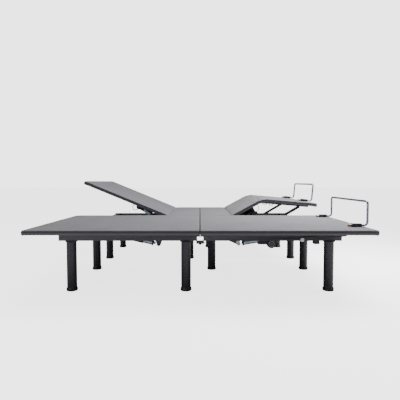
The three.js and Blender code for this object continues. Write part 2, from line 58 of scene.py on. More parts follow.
LENGTH, WIDTH = 2030, 955
DECK_TOP, DECK_BOTTOM = 395, 365
RAIL_TOP, RAIL_BOTTOM = 347, 307
RAIL_Y, RAIL_HALF = 280, 15
RAIL_END, RAIL_INNER_END = 857, 21
HINGE_X, HINGE_Z = 265, 356
KNEE_X, KNEE_Z = 556, 387
STRUT_FOOT, STRUT_HEAD = (616, 315), (878, 348)
STRUT_OUTER = 303
BACK_PIVOT, BACK_ANCHOR = (-568, 308), (-283, 240)
LEG_PIVOT, LEG_ANCHOR = (488, 280), (262, 243)
BAR_RADIUS, BAR_X, BAR_TOP, BAR_Z, BAR_HALF = 7, 1004, 547, 405, 310
BAR_START, BAR_BEND = 888, 20
SOCKET_X, SOCKET_HALF, SOCKET_HEIGHT = (908, 968), 12, 21
GAP = 0.3
UNDER_RAIL = RAIL_BOTTOM - GAP
LEG_X, MID_LEG_X = 785, 87
LEG_PLACES = {
    "leg_head_near": (-LEG_X, -RAIL_Y), "leg_head_far": (-LEG_X, RAIL_Y),
    "leg_mid_near": (-MID_LEG_X, -RAIL_Y), "leg_mid_far": (MID_LEG_X, RAIL_Y),
    "leg_foot_near": (LEG_X, -RAIL_Y), "leg_foot_far": (LEG_X, RAIL_Y),
}
SIDES = {"near": -1, "far": 1}

# ---- The rest pose of each base, read from the joints ----

JOINTS = {j["name"]: j for j in frame["joints"]}
RATIOS = {c["joint"]: c["ratio"] for c in frame["record"]["behaviour"]["couplings"]}


def turn(pivot, radians):
    """A turn about the Y axis through an XZ point. Positive lifts the head side."""
    x, z = pivot
    to = Matrix.Translation((x, 0, z))
    return to @ Matrix.Rotation(radians, 4, "Y") @ to.inverted()


def slide(start, end, distance):
    """A move along the line from one XZ point to another."""
    way = Vector((end[0] - start[0], 0, end[1] - start[1])).normalized()
    return Matrix.Translation(way * distance)


def rest_lift(base, joint):
    """How far a lift stands open at rest, in radians: its range starts at the flat pose."""
    return math.radians(-JOINTS[f"{base}_{joint}"]["range_deg"][0])


def section_matrices(base):
    """For each body of a base, the matrix from the flat pose to the rest pose, still in millimetres."""
    y = JOINTS[f"{base}_back_lift"]["pos_m"][1] / MM
    back, thigh = rest_lift(base, "back_lift"), rest_lift(base, "thigh_lift")
    ratio = {name: RATIOS[f"{base}_{name}"] for name in (
        "back_motor_pivot", "back_rod_slide", "leg_motor_pivot", "leg_rod_slide", "knee", "strut_pivot")}
    m = {"frame": Matrix.Translation((0, y, 0))}
    m["back"] = m["frame"] @ turn((-HINGE_X, HINGE_Z), back)
    m["back_motor"] = m["back"] @ turn(BACK_PIVOT, ratio["back_motor_pivot"] * back)
    m["back_rod"] = m["back_motor"] @ slide(BACK_PIVOT, BACK_ANCHOR, ratio["back_rod_slide"] * back / MM)
    m["thigh"] = m["frame"] @ turn((HINGE_X, HINGE_Z), -thigh)
    m["leg_motor"] = m["thigh"] @ turn(LEG_PIVOT, ratio["leg_motor_pivot"] * thigh)
    m["leg_rod"] = m["leg_motor"] @ slide(LEG_PIVOT, LEG_ANCHOR, ratio["leg_rod_slide"] * thigh / MM)
    m["calf"] = m["thigh"] @ turn((KNEE_X, KNEE_Z), ratio["knee"] * thigh)
    m["retainer"] = m["calf"]
    m["struts"] = m["frame"] @ turn(STRUT_FOOT, -ratio["strut_pivot"] * thigh)
    return m


SECTIONS = {base: section_matrices(base) for base in SIDES}
SCALE = Matrix.Scale(MM, 4)


# ---- Material building blocks ----

class Nodes:
    """A material's node tree, with short calls for what the materials here share."""

    def __init__(self, name, color, roughness, metallic=0.0, **fixed):
        self.material = bpy.data.materials.new(name)
        self.material.use_nodes = True
        self.tree = self.material.node_tree
        self.shader = self.tree.nodes["Principled BSDF"]
        self.shader.inputs["Base Color"].default_value = (*color, 1)
        self.shader.inputs["Roughness"].default_value = roughness
        self.shader.inputs["Metallic"].default_value = metallic
        for key, value in fixed.items():
            self.shader.inputs[key.replace("_", " ")].default_value = value

    def node(self, kind, inputs=None, **settings):
        made = self.tree.nodes.new(kind)
        for key, value in settings.items():
            setattr(made, key, value)
        for key, value in (inputs or {}).items():
            if isinstance(value, bpy.types.NodeSocket):
                self.tree.links.new(value, made.inputs[key])
            else:
                made.inputs[key].default_value = value
        return made

    def link(self, socket, name):
        self.tree.links.new(socket, self.shader.inputs[name])

    def place(self):
        return self.node("ShaderNodeTexCoord").outputs["Object"]

    def noise(self, scale, detail=3.0, roughness=0.5, vector=None):
        inputs = {"Scale": scale, "Detail": detail, "Roughness": roughness}
        inputs["Vector"] = vector if vector is not None else self.place()
        return self.node("ShaderNodeTexNoise", inputs).outputs["Fac"]

    def ramp(self, value, low, high, to_low=0.0, to_high=1.0):
        inputs = {"Value": value, "From Min": low, "From Max": high, "To Min": to_low, "To Max": to_high}
        return self.node("ShaderNodeMapRange", inputs).outputs["Result"]

    def mix(self, factor, a, b):
        made = self.node("ShaderNodeMix", data_type="RGBA")
        self.tree.links.new(factor, made.inputs[0])
        for socket, value in ((made.inputs[6], a), (made.inputs[7], b)):
            if isinstance(value, bpy.types.NodeSocket):
                self.tree.links.new(value, socket)
            else:
                socket.default_value = (*value, 1)
        return made.outputs[2]

    def math(self, operation, a, b=0.0):
        made = self.node("ShaderNodeMath", operation=operation)
        for socket, value in zip(made.inputs, (a, b)):
            if isinstance(value, bpy.types.NodeSocket):
                self.tree.links.new(value, socket)
            else:
                socket.default_value = value
        return made.outputs[0]

    def bump(self, height, strength, distance, normal=None):
        inputs = {"Height": height, "Strength": strength, "Distance": distance}
        if normal is not None:
            inputs["Normal"] = normal
        return self.node("ShaderNodeBump", inputs).outputs["Normal"]

    def edge_wear_and_highlight(self, low=0.52, high=0.60):
        """1 along convex edges, 0 elsewhere. On the powder coat it marks worn edges. On moulded plastic it marks a
        painted rim highlight.
        """
        return self.ramp(self.node("ShaderNodeNewGeometry").outputs["Pointiness"], low, high)


def shade(color, factor):
    return tuple(channel * factor for channel in color)


def woven_fabric(name, color, weave_mm):
    """A plain weave: two crossed sets of threads, heather flecks and broad tone changes."""
    n = Nodes(name, color, 0.93, Sheen_Weight=0.12, Sheen_Roughness=0.45, Specular_IOR_Level=0.18)
    place = n.place()
    split = n.node("ShaderNodeSeparateXYZ", {"Vector": place}).outputs
    turns = 2 * math.pi / (weave_mm * MM)
    across = n.math("SINE", n.math("MULTIPLY", split["X"], turns))
    along = n.math("SINE", n.math("MULTIPLY", split["Y"], turns))
    threads = n.math("MULTIPLY", across, along)
    fleck = n.noise(900.0, 2.0, 0.6, place)
    nap = n.noise(5.0, 5.0, 0.62, place)
    stretched = n.node("ShaderNodeMapping", {"Vector": place, "Scale": (9, 60, 9)}).outputs[0]
    streak = n.noise(1.0, 4.0, 0.6, stretched)
    broad = n.math("ADD", n.math("MULTIPLY", n.ramp(nap, 0.3, 0.7), 0.6), n.math("MULTIPLY", streak, 0.4))
    tone = n.math("ADD", n.math("MULTIPLY", n.ramp(fleck, 0.3, 0.7), 0.35), n.math("MULTIPLY", broad, 0.65))
    color_out = n.mix(tone, shade(color, 0.74), shade(color, 1.24))
    weave = n.ramp(threads, -1.0, 1.0, 0.0, 0.35)
    n.link(n.mix(weave, color_out, shade(color, 0.62)), "Base Color")
    soft = n.bump(n.noise(14.0, 3.0, 0.5, place), 0.35, 0.004)
    n.link(n.bump(threads, 0.5, 0.0005, soft), "Normal")
    return n.material


def shaded_band_fabric(name, dark, light):
    """The boxing strip round the deck: darker than the top as painted shade on the deck's sides, and lighter
    towards its lower edge as painted bounce light from the floor.
    """
    n = Nodes(name, dark, 0.9, Sheen_Weight=0.1, Sheen_Roughness=0.5, Specular_IOR_Level=0.2)
    place = n.place()
    height = n.node("ShaderNodeAttribute", attribute_name="band").outputs["Fac"]
    fleck = n.ramp(n.noise(800.0, 2.0, 0.6, place), 0.3, 0.7, 0.85, 1.15)
    # Painted bounce light from the floor: the band turns lighter towards its lower edge.
    painted_bounce = n.math("MULTIPLY", n.ramp(height, 0.75, 0.12), fleck)
    n.link(n.mix(painted_bounce, dark, light), "Base Color")
    split = n.node("ShaderNodeSeparateXYZ", {"Vector": place}).outputs
    rib = n.math("SINE", n.math("MULTIPLY", split["Z"], 2 * math.pi / (1.4 * MM)))
    n.link(n.bump(rib, 0.4, 0.0004), "Normal")
    return n.material


def dust_cloth():
    """The thin black non-woven cloth under the decks."""
    n = Nodes("dust_cloth", (0.018, 0.018, 0.02), 0.95, Specular_IOR_Level=0.2)
    speck = n.noise(1400.0, 2.0, 0.7)
    n.link(n.mix(n.ramp(speck, 0.4, 0.7), (0.012, 0.012, 0.013), (0.035, 0.035, 0.038)), "Base Color")
    n.link(n.bump(speck, 0.4, 0.0004), "Normal")
    return n.material


def powder_coat():
    """Satin powder coat on steel tube: orange peel, faint dust, lighter worn edges."""
    n = Nodes("powder_coat", (0.02, 0.02, 0.028), 0.42, Coat_Weight=0.12, Coat_Roughness=0.3)
    place = n.place()
    peel = n.noise(420.0, 2.0, 0.5, place)
    dust = n.ramp(n.noise(9.0, 5.0, 0.6, place), 0.35, 0.75)
    base = n.mix(dust, (0.010, 0.010, 0.018), (0.021, 0.021, 0.036))
    n.link(n.mix(n.edge_wear_and_highlight(), base, (0.075, 0.072, 0.09)), "Base Color")
    n.link(n.ramp(dust, 0.0, 1.0, 0.36, 0.52), "Roughness")
    n.link(n.bump(peel, 0.25, 0.0006), "Normal")
    return n.material


def glossy_leg():
    """Glossy black moulded leg with fine rub marks, and painted shade that darkens it towards the foot."""
    n = Nodes("glossy_leg", (0.006, 0.005, 0.008), 0.2, Specular_IOR_Level=0.42)
    place = n.place()
    rub = n.noise(60.0, 6.0, 0.7, place)
    height = n.node("ShaderNodeSeparateXYZ", {"Vector": place}).outputs["Z"]
    # Painted shade: the leg darkens towards the floor.
    painted_low_shade = n.ramp(height, 20 * MM, 230 * MM)
    shade_and_rubs = n.math("ADD", painted_low_shade, n.ramp(rub, 0.5, 0.8, 0.0, 0.25))
    n.link(n.mix(shade_and_rubs, (0.006, 0.005, 0.008), (0.034, 0.030, 0.042)), "Base Color")
    n.link(n.ramp(rub, 0.3, 0.8, 0.2, 0.36), "Roughness")
    n.link(n.bump(n.noise(160.0, 2.0, 0.5, place), 0.08, 0.0005), "Normal")
    return n.material


def moulded_plastic(name, color, roughness=0.5):
    """Fine spark-eroded moulding texture, with convex edges lightened as a painted rim highlight."""
    n = Nodes(name, color, roughness)
    grain = n.noise(1100.0, 3.0, 0.6)
    grained = n.mix(grain, shade(color, 0.8), shade(color, 1.3))
    # Painted rim highlight: convex edges lightened to three times the colour.
    n.link(n.mix(n.edge_wear_and_highlight(), grained, shade(color, 3.0)), "Base Color")
    n.link(n.ramp(grain, 0.3, 0.7, roughness - 0.06, roughness + 0.08), "Roughness")
    n.link(n.bump(grain, 0.3, 0.0003), "Normal")
    return n.material


def bare_metal(name, color, roughness, streak_mm=0.6, streak=0.12):
    """Ground or drawn metal: fine streaks round the bar and a little tarnish."""
    n = Nodes(name, color, roughness, 1.0)
    place = n.place()
    fine = n.noise(1 / (streak_mm * MM), 2.0, 0.6, place)
    tarnish = n.noise(22.0, 4.0, 0.6, place)
    n.link(n.mix(n.ramp(tarnish, 0.4, 0.75), color, shade(color, 0.72)), "Base Color")
    n.link(n.ramp(fine, 0.3, 0.7, roughness - streak / 2, roughness + streak / 2), "Roughness")
    n.link(n.bump(fine, 0.1, 0.0002), "Normal")
    return n.material


TOP_FABRIC = woven_fabric("deck_top_fabric", (0.222, 0.216, 0.240), 2.2)
# The band's dark colour is painted shade on the deck's sides. Its light colour is painted bounce light from the
# floor.
SHADED_BAND_FABRIC = shaded_band_fabric("deck_band_painted_shade", (0.034, 0.031, 0.037), (0.135, 0.128, 0.145))
UNDER_CLOTH = dust_cloth()
POWDER_COAT = powder_coat()
LEG_GLOSS = glossy_leg()
MOTOR_PLASTIC = moulded_plastic("motor_plastic", (0.012, 0.012, 0.014), 0.45)
CAP_PLASTIC = moulded_plastic("cap_plastic", (0.009, 0.009, 0.01), 0.55)
CABLE_RUBBER = moulded_plastic("cable_sheath", (0.014, 0.014, 0.015), 0.5)
ROD_STEEL = bare_metal("rod_steel", (0.60, 0.62, 0.66), 0.22)
TUBE_ALUMINIUM = bare_metal("tube_aluminium", (0.58, 0.66, 0.78), 0.42)
RETAINER_STEEL = bare_metal("retainer_steel", (0.30, 0.32, 0.38), 0.24, 1.5, 0.06)
ZINC = bare_metal("bolt_zinc", (0.74, 0.79, 0.84), 0.45)
BLACK_OXIDE = bare_metal("bolt_black", (0.045, 0.045, 0.05), 0.4)
# A lighter plastic for the gear case's ring and hub: a painted rim highlight.
RIM_HIGHLIGHT_PLASTIC = moulded_plastic("gear_rim_highlight_plastic", (0.12, 0.12, 0.13), 0.42)
PALE_SHEATH = moulded_plastic("pale_sheath", (0.10, 0.10, 0.105), 0.5)
COPPER = bare_metal("copper_tip", (0.42, 0.28, 0.22), 0.35)


# ---- Mesh building blocks, in millimetres ----

def to_object(name, bm, material):
    mesh = bpy.data.meshes.new(name)
    bm.to_mesh(mesh)
    bm.free()
    mesh.materials.append(material)
    made = bpy.data.objects.new(name, mesh)
    bpy.context.scene.collection.objects.link(made)
    return made


def joined(*parts):
    """One bmesh from several, so that a piece can be several shells."""
    whole = bmesh.new()
    for part in parts:
        mesh = bpy.data.meshes.new("part")
        part.to_mesh(mesh)
        part.free()
        whole.from_mesh(mesh)
        bpy.data.meshes.remove(mesh)
    return whole


def moved(bm, matrix):
    bmesh.ops.transform(bm, matrix=matrix, verts=bm.verts)
    return bm


def rounded_box(x0, x1, y0, y1, z0, z1, radius=1.5, segments=2):
    bm = bmesh.new()
    bmesh.ops.create_cube(bm, size=1)
    size = Matrix.Diagonal((x1 - x0, y1 - y0, z1 - z0, 1))
    moved(bm, Matrix.Translation(((x0 + x1) / 2, (y0 + y1) / 2, (z0 + z1) / 2)) @ size)
    bmesh.ops.bevel(bm, geom=bm.edges[:], offset=radius, segments=segments, profile=0.5, affect="EDGES")
    return bm


def lathe(profile, segments=48):
    """A closed body of revolution about Z. The profile is (radius, z) pairs, its ends on the axis."""
    bm = bmesh.new()
    rings = []
    for radius, z in profile:
        if radius < 1e-6:
            rings.append([bm.verts.new((0, 0, z))])
        else:
            angles = (2 * math.pi * i / segments for i in range(segments))
            rings.append([bm.verts.new((radius * math.cos(a), radius * math.sin(a), z)) for a in angles])
    for low, high in zip(rings, rings[1:]):
        for i in range(segments):
            j = (i + 1) % segments
            corners = [low[i % len(low)], low[j % len(low)], high[j % len(high)], high[i % len(high)]]
            unique = list(dict.fromkeys(corners))
            if len(unique) > 2:
                bm.faces.new(unique)
    bmesh.ops.recalc_face_normals(bm, faces=bm.faces[:])
    return bm


def corner_curve(a, b, c, bend, share, steps):
    """The curve that replaces a corner b between a and c, using at most a share of each side."""
    reach = min(bend, (a - b).length * share, (c - b).length * share)
    start, end = b + (a - b).normalized() * reach, b + (c - b).normalized() * reach
    places = [i / steps for i in range(steps + 1)]
    return [start * (1 - t) ** 2 + b * 2 * t * (1 - t) + end * t * t for t in places]


def softened(profile, bevel=1.2, steps=3):
    """The same profile with each inner corner rounded."""
    out = [profile[0]]
    for corner in zip(profile, profile[1:], profile[2:]):
        out += [tuple(point) for point in corner_curve(*map(Vector, corner), bevel, 0.45, steps)]
    out.append(profile[-1])
    return out


def axle(x, z, y0, y1, radius, bevel=1.0, segments=32):
    """A round bar along Y with rounded rims."""
    length = y1 - y0
    bm = lathe(softened([(0, 0), (radius, 0), (radius, length), (0, length)], bevel), segments)
    return moved(bm, Matrix.Translation((x, y0, z)) @ Matrix.Rotation(-math.pi / 2, 4, "X"))


def shaft(start, end, profile, segments=40):
    """A body of revolution about the line from one XZ point to another, its profile in (radius, distance)."""
    way = Vector((end[0] - start[0], 0, end[1] - start[1]))
    bm = lathe(profile, segments)
    turned = Vector((0, 0, 1)).rotation_difference(way).to_matrix().to_4x4()
    return moved(bm, Matrix.Translation((start[0], 0, start[1])) @ turned)


def bolt_head(across, height):
    """A hex bolt head on its washer, standing up from the origin."""
    washer = lathe(softened([(0, 0), (across * 0.95, 0), (across * 0.95, 1.6), (0, 1.6)], 0.4), 32)
    r = across / math.sqrt(3)
    head = lathe([(0, 1.6), (r, 1.6), (r, height), (r * 0.86, height + 0.8), (0, height + 0.8)], 6)
    return joined(washer, head)


def hexagon(x, z, y, outward, across=10.0, height=5.0):
    """A bolt head on a face that looks along Y, towards the side that outward gives."""
    angle = -math.pi / 2 if outward > 0 else math.pi / 2
    return moved(bolt_head(across, height), Matrix.Translation((x, y, z)) @ Matrix.Rotation(angle, 4, "X"))


def hexagon_pair(x, z, face, across):
    """Two bolt heads back to back, on the faces at plus and minus face in Y."""
    return joined(hexagon(x, z, face, 1, across), hexagon(x, z, -face, -1, across))


def hexagon_down(x, y, z, across, height):
    """A bolt head that looks down."""
    return moved(bolt_head(across, height), Matrix.Translation((x, y, z)) @ Matrix.Rotation(math.pi, 4, "X"))


def plate(outline, y0, y1, radius=0.8):
    """A flat plate with its outline in XZ, its rims rounded."""
    bm = bmesh.new()
    face = bm.faces.new([bm.verts.new((x, y0, z)) for x, z in outline])
    out = bmesh.ops.extrude_face_region(bm, geom=[face])["geom"]
    far_verts = [v for v in out if isinstance(v, bmesh.types.BMVert)]
    bmesh.ops.translate(bm, verts=far_verts, vec=(0, y1 - y0, 0))
    bmesh.ops.recalc_face_normals(bm, faces=bm.faces[:])
    rims = [e for e in bm.edges if abs(e.verts[0].co.y - e.verts[1].co.y) < 1e-4]
    bmesh.ops.bevel(bm, geom=rims, offset=radius, segments=2, profile=0.5, affect="EDGES")
    return bm


def smooth_points(points, bend, steps):
    """A polyline with each inner corner rounded by a curve."""
    points = [Vector(p) for p in points]
    out = [points[0]]
    for corner in zip(points, points[1:], points[2:]):
        out += corner_curve(*corner, bend, 0.49, steps)
    out.append(points[-1])
    return out


def tube(points, radius, sides=20):
    """A closed round tube through points."""
    bm = bmesh.new()
    points = [Vector(p) for p in points]
    across = None
    rings = []
    for i, point in enumerate(points):
        before, after = points[max(i - 1, 0)], points[min(i + 1, len(points) - 1)]
        tangent = (after - before).normalized()
        if across is None:
            across = tangent.orthogonal().normalized()
        across = (across - tangent * across.dot(tangent)).normalized()
        other = tangent.cross(across)
        angles = [2 * math.pi * k / sides for k in range(sides)]
        ring = [point + (across * math.cos(a) + other * math.sin(a)) * radius for a in angles]
        rings.append([bm.verts.new(v) for v in ring])
    for low, high in zip(rings, rings[1:]):
        for k in range(sides):
            j = (k + 1) % sides
            bm.faces.new((low[k], low[j], high[j], high[k]))
    bm.faces.new(rings[0][::-1])
    bm.faces.new(rings[-1])
    bmesh.ops.recalc_face_normals(bm, faces=bm.faces[:])
    return bm


def spline(points, steps=10):
    """A smooth curve through given points."""
    points = [Vector(p) for p in points]
    padded = [points[0] * 2 - points[1], *points, points[-1] * 2 - points[-2]]
    out = []
    for a, b, c, d in zip(padded, padded[1:], padded[2:], padded[3:]):
        for i in range(steps):
            t = i / steps
            out.append(0.5 * ((2 * b) + (c - a) * t + (2 * a - 5 * b + 4 * c - d) * t * t
                              + (3 * b - a - 3 * c + d) * t ** 3))
    out.append(points[-1])
    return out


def smooth_shaded(piece, degrees=35):
    piece.data.polygons.foreach_set("use_smooth", [True] * len(piece.data.polygons))
    piece.data.set_sharp_from_angle(angle=math.radians(degrees))


def body_name(base, section):
    return "frame" if section == "frame" else f"{base}_{section}"


def place(name, bm, material, base, section, slot, replaces=()):
    """Makes a piece from flat-pose millimetres, puts it in its section's rest pose and lets it ride there."""
    piece = to_object(f"{base}_{name}", bm, material)
    piece.data.transform(SCALE @ SECTIONS[base][section])
    smooth_shaded(piece)
    if replaces:
        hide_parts(*[f"{base}_{node}" for node in replaces])
    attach(piece, body_name(base, section))


# ---- Camera, light and floor ----

CAMERA_PLACE, CAMERA_PITCH = (-0.0011, -3.047, 0.666), 0.0488
LENS_MM, SENSOR_MM = 33.89, 36.0

# How bright the surround and the floor look to the camera, and how strongly the surround lights the part.
PAPER_WHITE, FLOOR_WHITE, SURROUND_LIGHT = 3.3, 2.7, 0.34
FLOOR_HALF_M = 40


def camera():
    data = bpy.data.cameras.new("camera")
    data.lens, data.sensor_width = LENS_MM, SENSOR_MM
    eye = bpy.data.objects.new("camera", data)
    eye.location = CAMERA_PLACE
    eye.rotation_euler = (math.pi / 2 - CAMERA_PITCH, 0, 0)
    bpy.context.scene.collection.objects.link(eye)
    bpy.context.scene.camera = eye


def area_light(name, position, target, size, power):
    data = bpy.data.lights.new(name, "AREA")
    data.shape, data.size, data.size_y, data.energy = "RECTANGLE", size[0], size[1], power
    lamp = bpy.data.objects.new(name, data)
    lamp.location = position
    lamp.rotation_euler = (Vector(target) - Vector(position)).to_track_quat("-Z", "Y").to_euler()
    bpy.context.scene.collection.objects.link(lamp)


def seen_or_lit(n, seen, lit):
    """A strength with one value where the backdrop is looked at and another where it lights the part."""
    straight = n.node("ShaderNodeLightPath").outputs["Is Camera Ray"]
    return n.ramp(straight, 0.0, 1.0, lit, seen)


def studio():
    """A white paper sweep: the floor and the surround read as the same white."""
    world = bpy.data.worlds.new("studio")
    world.use_nodes = True
    n = Nodes.__new__(Nodes)
    n.tree = world.node_tree
    n.shader = world.node_tree.nodes["Background"]
    n.shader.inputs["Color"].default_value = (1, 1, 1, 1)
    n.link(seen_or_lit(n, PAPER_WHITE, SURROUND_LIGHT), "Strength")
    bpy.context.scene.world = world
    area_light("key", (1.35, 0.0, 1.6), (0.7, -0.2, 0.35), (1.2, 1.2), 62)
    area_light("overhead", (-0.5, 0.3, 2.6), (-0.4, 0, 0.3), (2.4, 1.6), 30)
    area_light("strip_left", (-2.0, -2.6, 0.9), (-0.4, -0.9, 0.25), (0.3, 1.6), 13)
    area_light("strip_front", (0.3, -4.4, 1.0), (0.2, -0.8, 0.2), (0.35, 1.8), 7)
    area_light("strip_right", (2.6, -1.9, 0.9), (0, -0.4, 0.2), (0.25, 1.6), 5)
    bm = bmesh.new()
    bmesh.ops.create_grid(bm, x_segments=2, y_segments=2, size=FLOOR_HALF_M)
    paper = Nodes("studio_floor", (0.9, 0.9, 0.9), 0.9, Emission_Color=(1, 1, 1, 1))
    grain = paper.noise(3.0, 2.0)
    paper.link(paper.mix(grain, (0.89, 0.89, 0.89), (0.91, 0.91, 0.91)), "Base Color")
    paper.link(seen_or_lit(paper, FLOOR_WHITE, 0.0), "Emission Strength")
    floor = to_object("studio_floor", bm, paper.material)


# ---- Upholstered covers ----

EDGE = 12.0
CORNER, NOSE, NOSE_SAG, SAG_REACH = 42.0, 14.0, 5.0, 26
SEAM_EDGE, SEAM_HALF, SEAM_LIP = 4.2, 0.02, 3.6
CREASE_DEPTH, CREASE_HALF = 6.5, 3.0
FOLD_REACH, KNEE_REACH = 35.0, 55.0
MID_THIGH = 410.0
END_ROUNDING = {"nose": (CORNER, NOSE), "seam": (SEAM_EDGE, SEAM_EDGE), "flush": (1e-3, 1e-3)}
FAR_AWAY = 1e9

# How finely the cover is divided: round each edge, across its top, and across its underside.
EDGE_STEPS, TOP_STEPS, UNDER_STEPS = 8, 40, 24

# The fabric's unevenness on top: (wavelength, height, a place in the noise of its own).
SWELLS = ((130, 0.5, 3.1), (46, 0.25, 9.7))


def section_loop(half_width, low, high):
    """The cover's cross-section: (y, z, band) points once round. band is the height on the side, 0 to 1."""
    edge = min(EDGE, (high - low) / 2 * 0.98, half_width * 0.5)
    flat = half_width - edge
    right = []
    for first, centre in ((math.pi / 2, high - edge), (0.0, low + edge)):
        for i in range(EDGE_STEPS + 1):
            angle = first - math.pi / 2 * i / EDGE_STEPS
            right.append((flat + edge * math.cos(angle), centre + edge * math.sin(angle)))
    left = [(-y, z) for y, z in reversed(right)]
    top = [(-flat + 2 * flat * i / TOP_STEPS, high) for i in range(1, TOP_STEPS)]
    bottom = [(flat - 2 * flat * i / UNDER_STEPS, low) for i in range(1, UNDER_STEPS)]
    height = max(high - low, 1e-3)
    return [(y, z, (z - low) / height) for y, z in top + right + bottom + left]


def nose_distance(x, x0, x1, start, end):
    """How far x is from the nearest padded nose of the cover."""
    return min(x - x0 if start == "nose" else FAR_AWAY, x1 - x if end == "nose" else FAR_AWAY)


def station_step(to_end, to_nose, to_fold, reach):
    """The spacing of cross-sections: closer near the cover's ends and across its fold."""
    if to_end < 4:
        step = 0.8
    elif to_nose < NOSE:
        step = 2.0
    elif to_nose < CORNER:
        step = 3.0
    else:
        step = 14.0
    if to_fold < 9:
        return min(step, 1.1)
    return min(step, 4.0) if to_fold < reach + 14 else step


def stations(x0, x1, fold, reach, start, end):
    """X positions for the cover's cross-sections."""
    xs = set()
    x = x0
    while x < x1:
        xs.add(round(x, 3))
        x += station_step(min(x - x0, x1 - x), nose_distance(x, x0, x1, start, end), abs(x - fold), reach)
    xs.add(x1)
    return sorted(xs)


def quarter_inset(gap, radius):
    """How far a quarter-round of this radius has pulled in, at a distance from its end."""
    return radius - math.sqrt(max(radius ** 2 - max(radius - gap, 0) ** 2, 0))


def end_insets(x, x0, x1, start, end):
    """How far the plan's corner and the nose have pulled in at x, for the kinds of end the cover has."""
    corner = nose = 0.0
    for gap, kind in ((x - x0, start), (x1 - x, end)):
        in_plan, in_height = END_ROUNDING[kind]
        corner = max(corner, quarter_inset(gap, in_plan))
        nose = max(nose, quarter_inset(gap, in_height))
    return corner, nose


def surface_shift(x, y, height, dip, sag):
    """How far a point of the cover moves inwards and up, for puckers, swells, the fold and the nose."""
    on_top = 1.0 if height > 0.99 else 0.0
    swell = sum(size * noise.noise(Vector((x / wave, y / wave, place))) for wave, size, place in SWELLS)
    pucker = max(0.0, 0.7 * noise.noise(Vector((x / 22, height * 2, y / 300))))
    inward = 0.0 if on_top else dip * 0.5
    if 0.05 < height < 0.99:
        inward += 0.6 * pucker
    lift = (swell - 0.5) * on_top - dip * (0.5 + 0.5 * on_top) - sag * (1.0 - 0.4 * height)
    return inward, lift


def cover_mesh(x0, x1, fold, reach, crease, start, end):
    """One padded cover from x0 to x1 as a grid of cross-sections. crease is the depth of its fold line."""
    bm = bmesh.new()
    band = bm.verts.layers.float.new("band")
    rings = []
    for x in stations(x0, x1, fold, reach, start, end):
        corner, nose = end_insets(x, x0, x1, start, end)
        dip = crease * math.exp(-((x - fold) / CREASE_HALF) ** 2)
        sag = NOSE_SAG * math.exp(-(nose_distance(x, x0, x1, start, end) / SAG_REACH) ** 2)
        ring = []
        for y, z, height in section_loop(WIDTH / 2 - corner, DECK_BOTTOM + nose, DECK_TOP - nose):
            inward, lift = surface_shift(x, y, height, dip, sag)
            v = bm.verts.new((x, y - math.copysign(inward, y), z + lift))
            v[band] = height
            ring.append(v)
        rings.append(ring)
    count = len(rings[0])
    for low, high in zip(rings, rings[1:]):
        for k in range(count):
            j = (k + 1) % count
            bm.faces.new((low[k], high[k], high[j], low[j]))
    bm.faces.new(rings[0])
    bm.faces.new(rings[-1][::-1])
    bmesh.ops.recalc_face_normals(bm, faces=bm.faces[:])
    return bm


def fold_turn(x, pivot, angle, way):
    """The turn about an XZ pivot at x: its share grows across the fold, towards way, which is +1 or -1."""
    t = min(max((way * (x - pivot[0]) + FOLD_REACH) / (2 * FOLD_REACH), 0.0), 1.0)
    return turn(pivot, angle * t * t * (3 - 2 * t))


def arc_point(v, pivot, angle, reach):
    """Bends a point round an arc that spans reach on both sides of a pivot and drops the foot side."""
    u = v.x - pivot[0]
    if angle < 1e-6 or u <= -reach:
        return v
    if u >= reach:
        return turn(pivot, angle) @ v
    radius = reach / math.tan(angle / 2)
    swept = angle * (u + reach) / (2 * reach)
    out = radius + v.z - pivot[1]
    return Vector((pivot[0] - reach + out * math.sin(swept), v.y, pivot[1] - radius + out * math.cos(swept)))


COVER_MATERIALS = (TOP_FABRIC, SHADED_BAND_FABRIC, UNDER_CLOTH)
TOP, BAND, UNDER = range(3)

# The band heights, from 0 at the underside to 1 on top, where the cloth ends and the top fabric starts.
CLOTH_HEIGHT, TOP_HEIGHT = 0.02, 0.80


def paint_cover(piece):
    """Top, boxing band and dust cloth, chosen by each face's place on the cross-section.

    The band's fabric carries painted shade and painted bounce light. The rounded lip at the centre seam is
    turned-in boxing too, and takes the same painted shade."""
    mesh = piece.data
    for material in COVER_MATERIALS[1:]:
        mesh.materials.append(material)
    band = mesh.attributes["band"].data
    for face in mesh.polygons:
        height = sum(band[i].value for i in face.vertices) / len(face.vertices)
        lip = abs(face.center.x) < SEAM_LIP
        if height < CLOTH_HEIGHT:
            face.material_index = UNDER
        else:
            # The band and the seam lip take the fabric that carries the painted shade.
            face.material_index = BAND if lip or height < TOP_HEIGHT else TOP


def make_cover(base, name, bm, bend, replaced):
    """One cover, bent from flat to its rest place, its turn eased across its fold, and baked there."""
    for v in bm.verts:
        v.co = bend(v.co)
    piece = to_object(f"{base}_{name}", bm, TOP_FABRIC)
    paint_cover(piece)
    piece.data.transform(SCALE @ SECTIONS[base]["frame"])
    smooth_shaded(piece, 60)
    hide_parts(*[f"{base}_{node}" for node in replaced])
    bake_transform(piece)


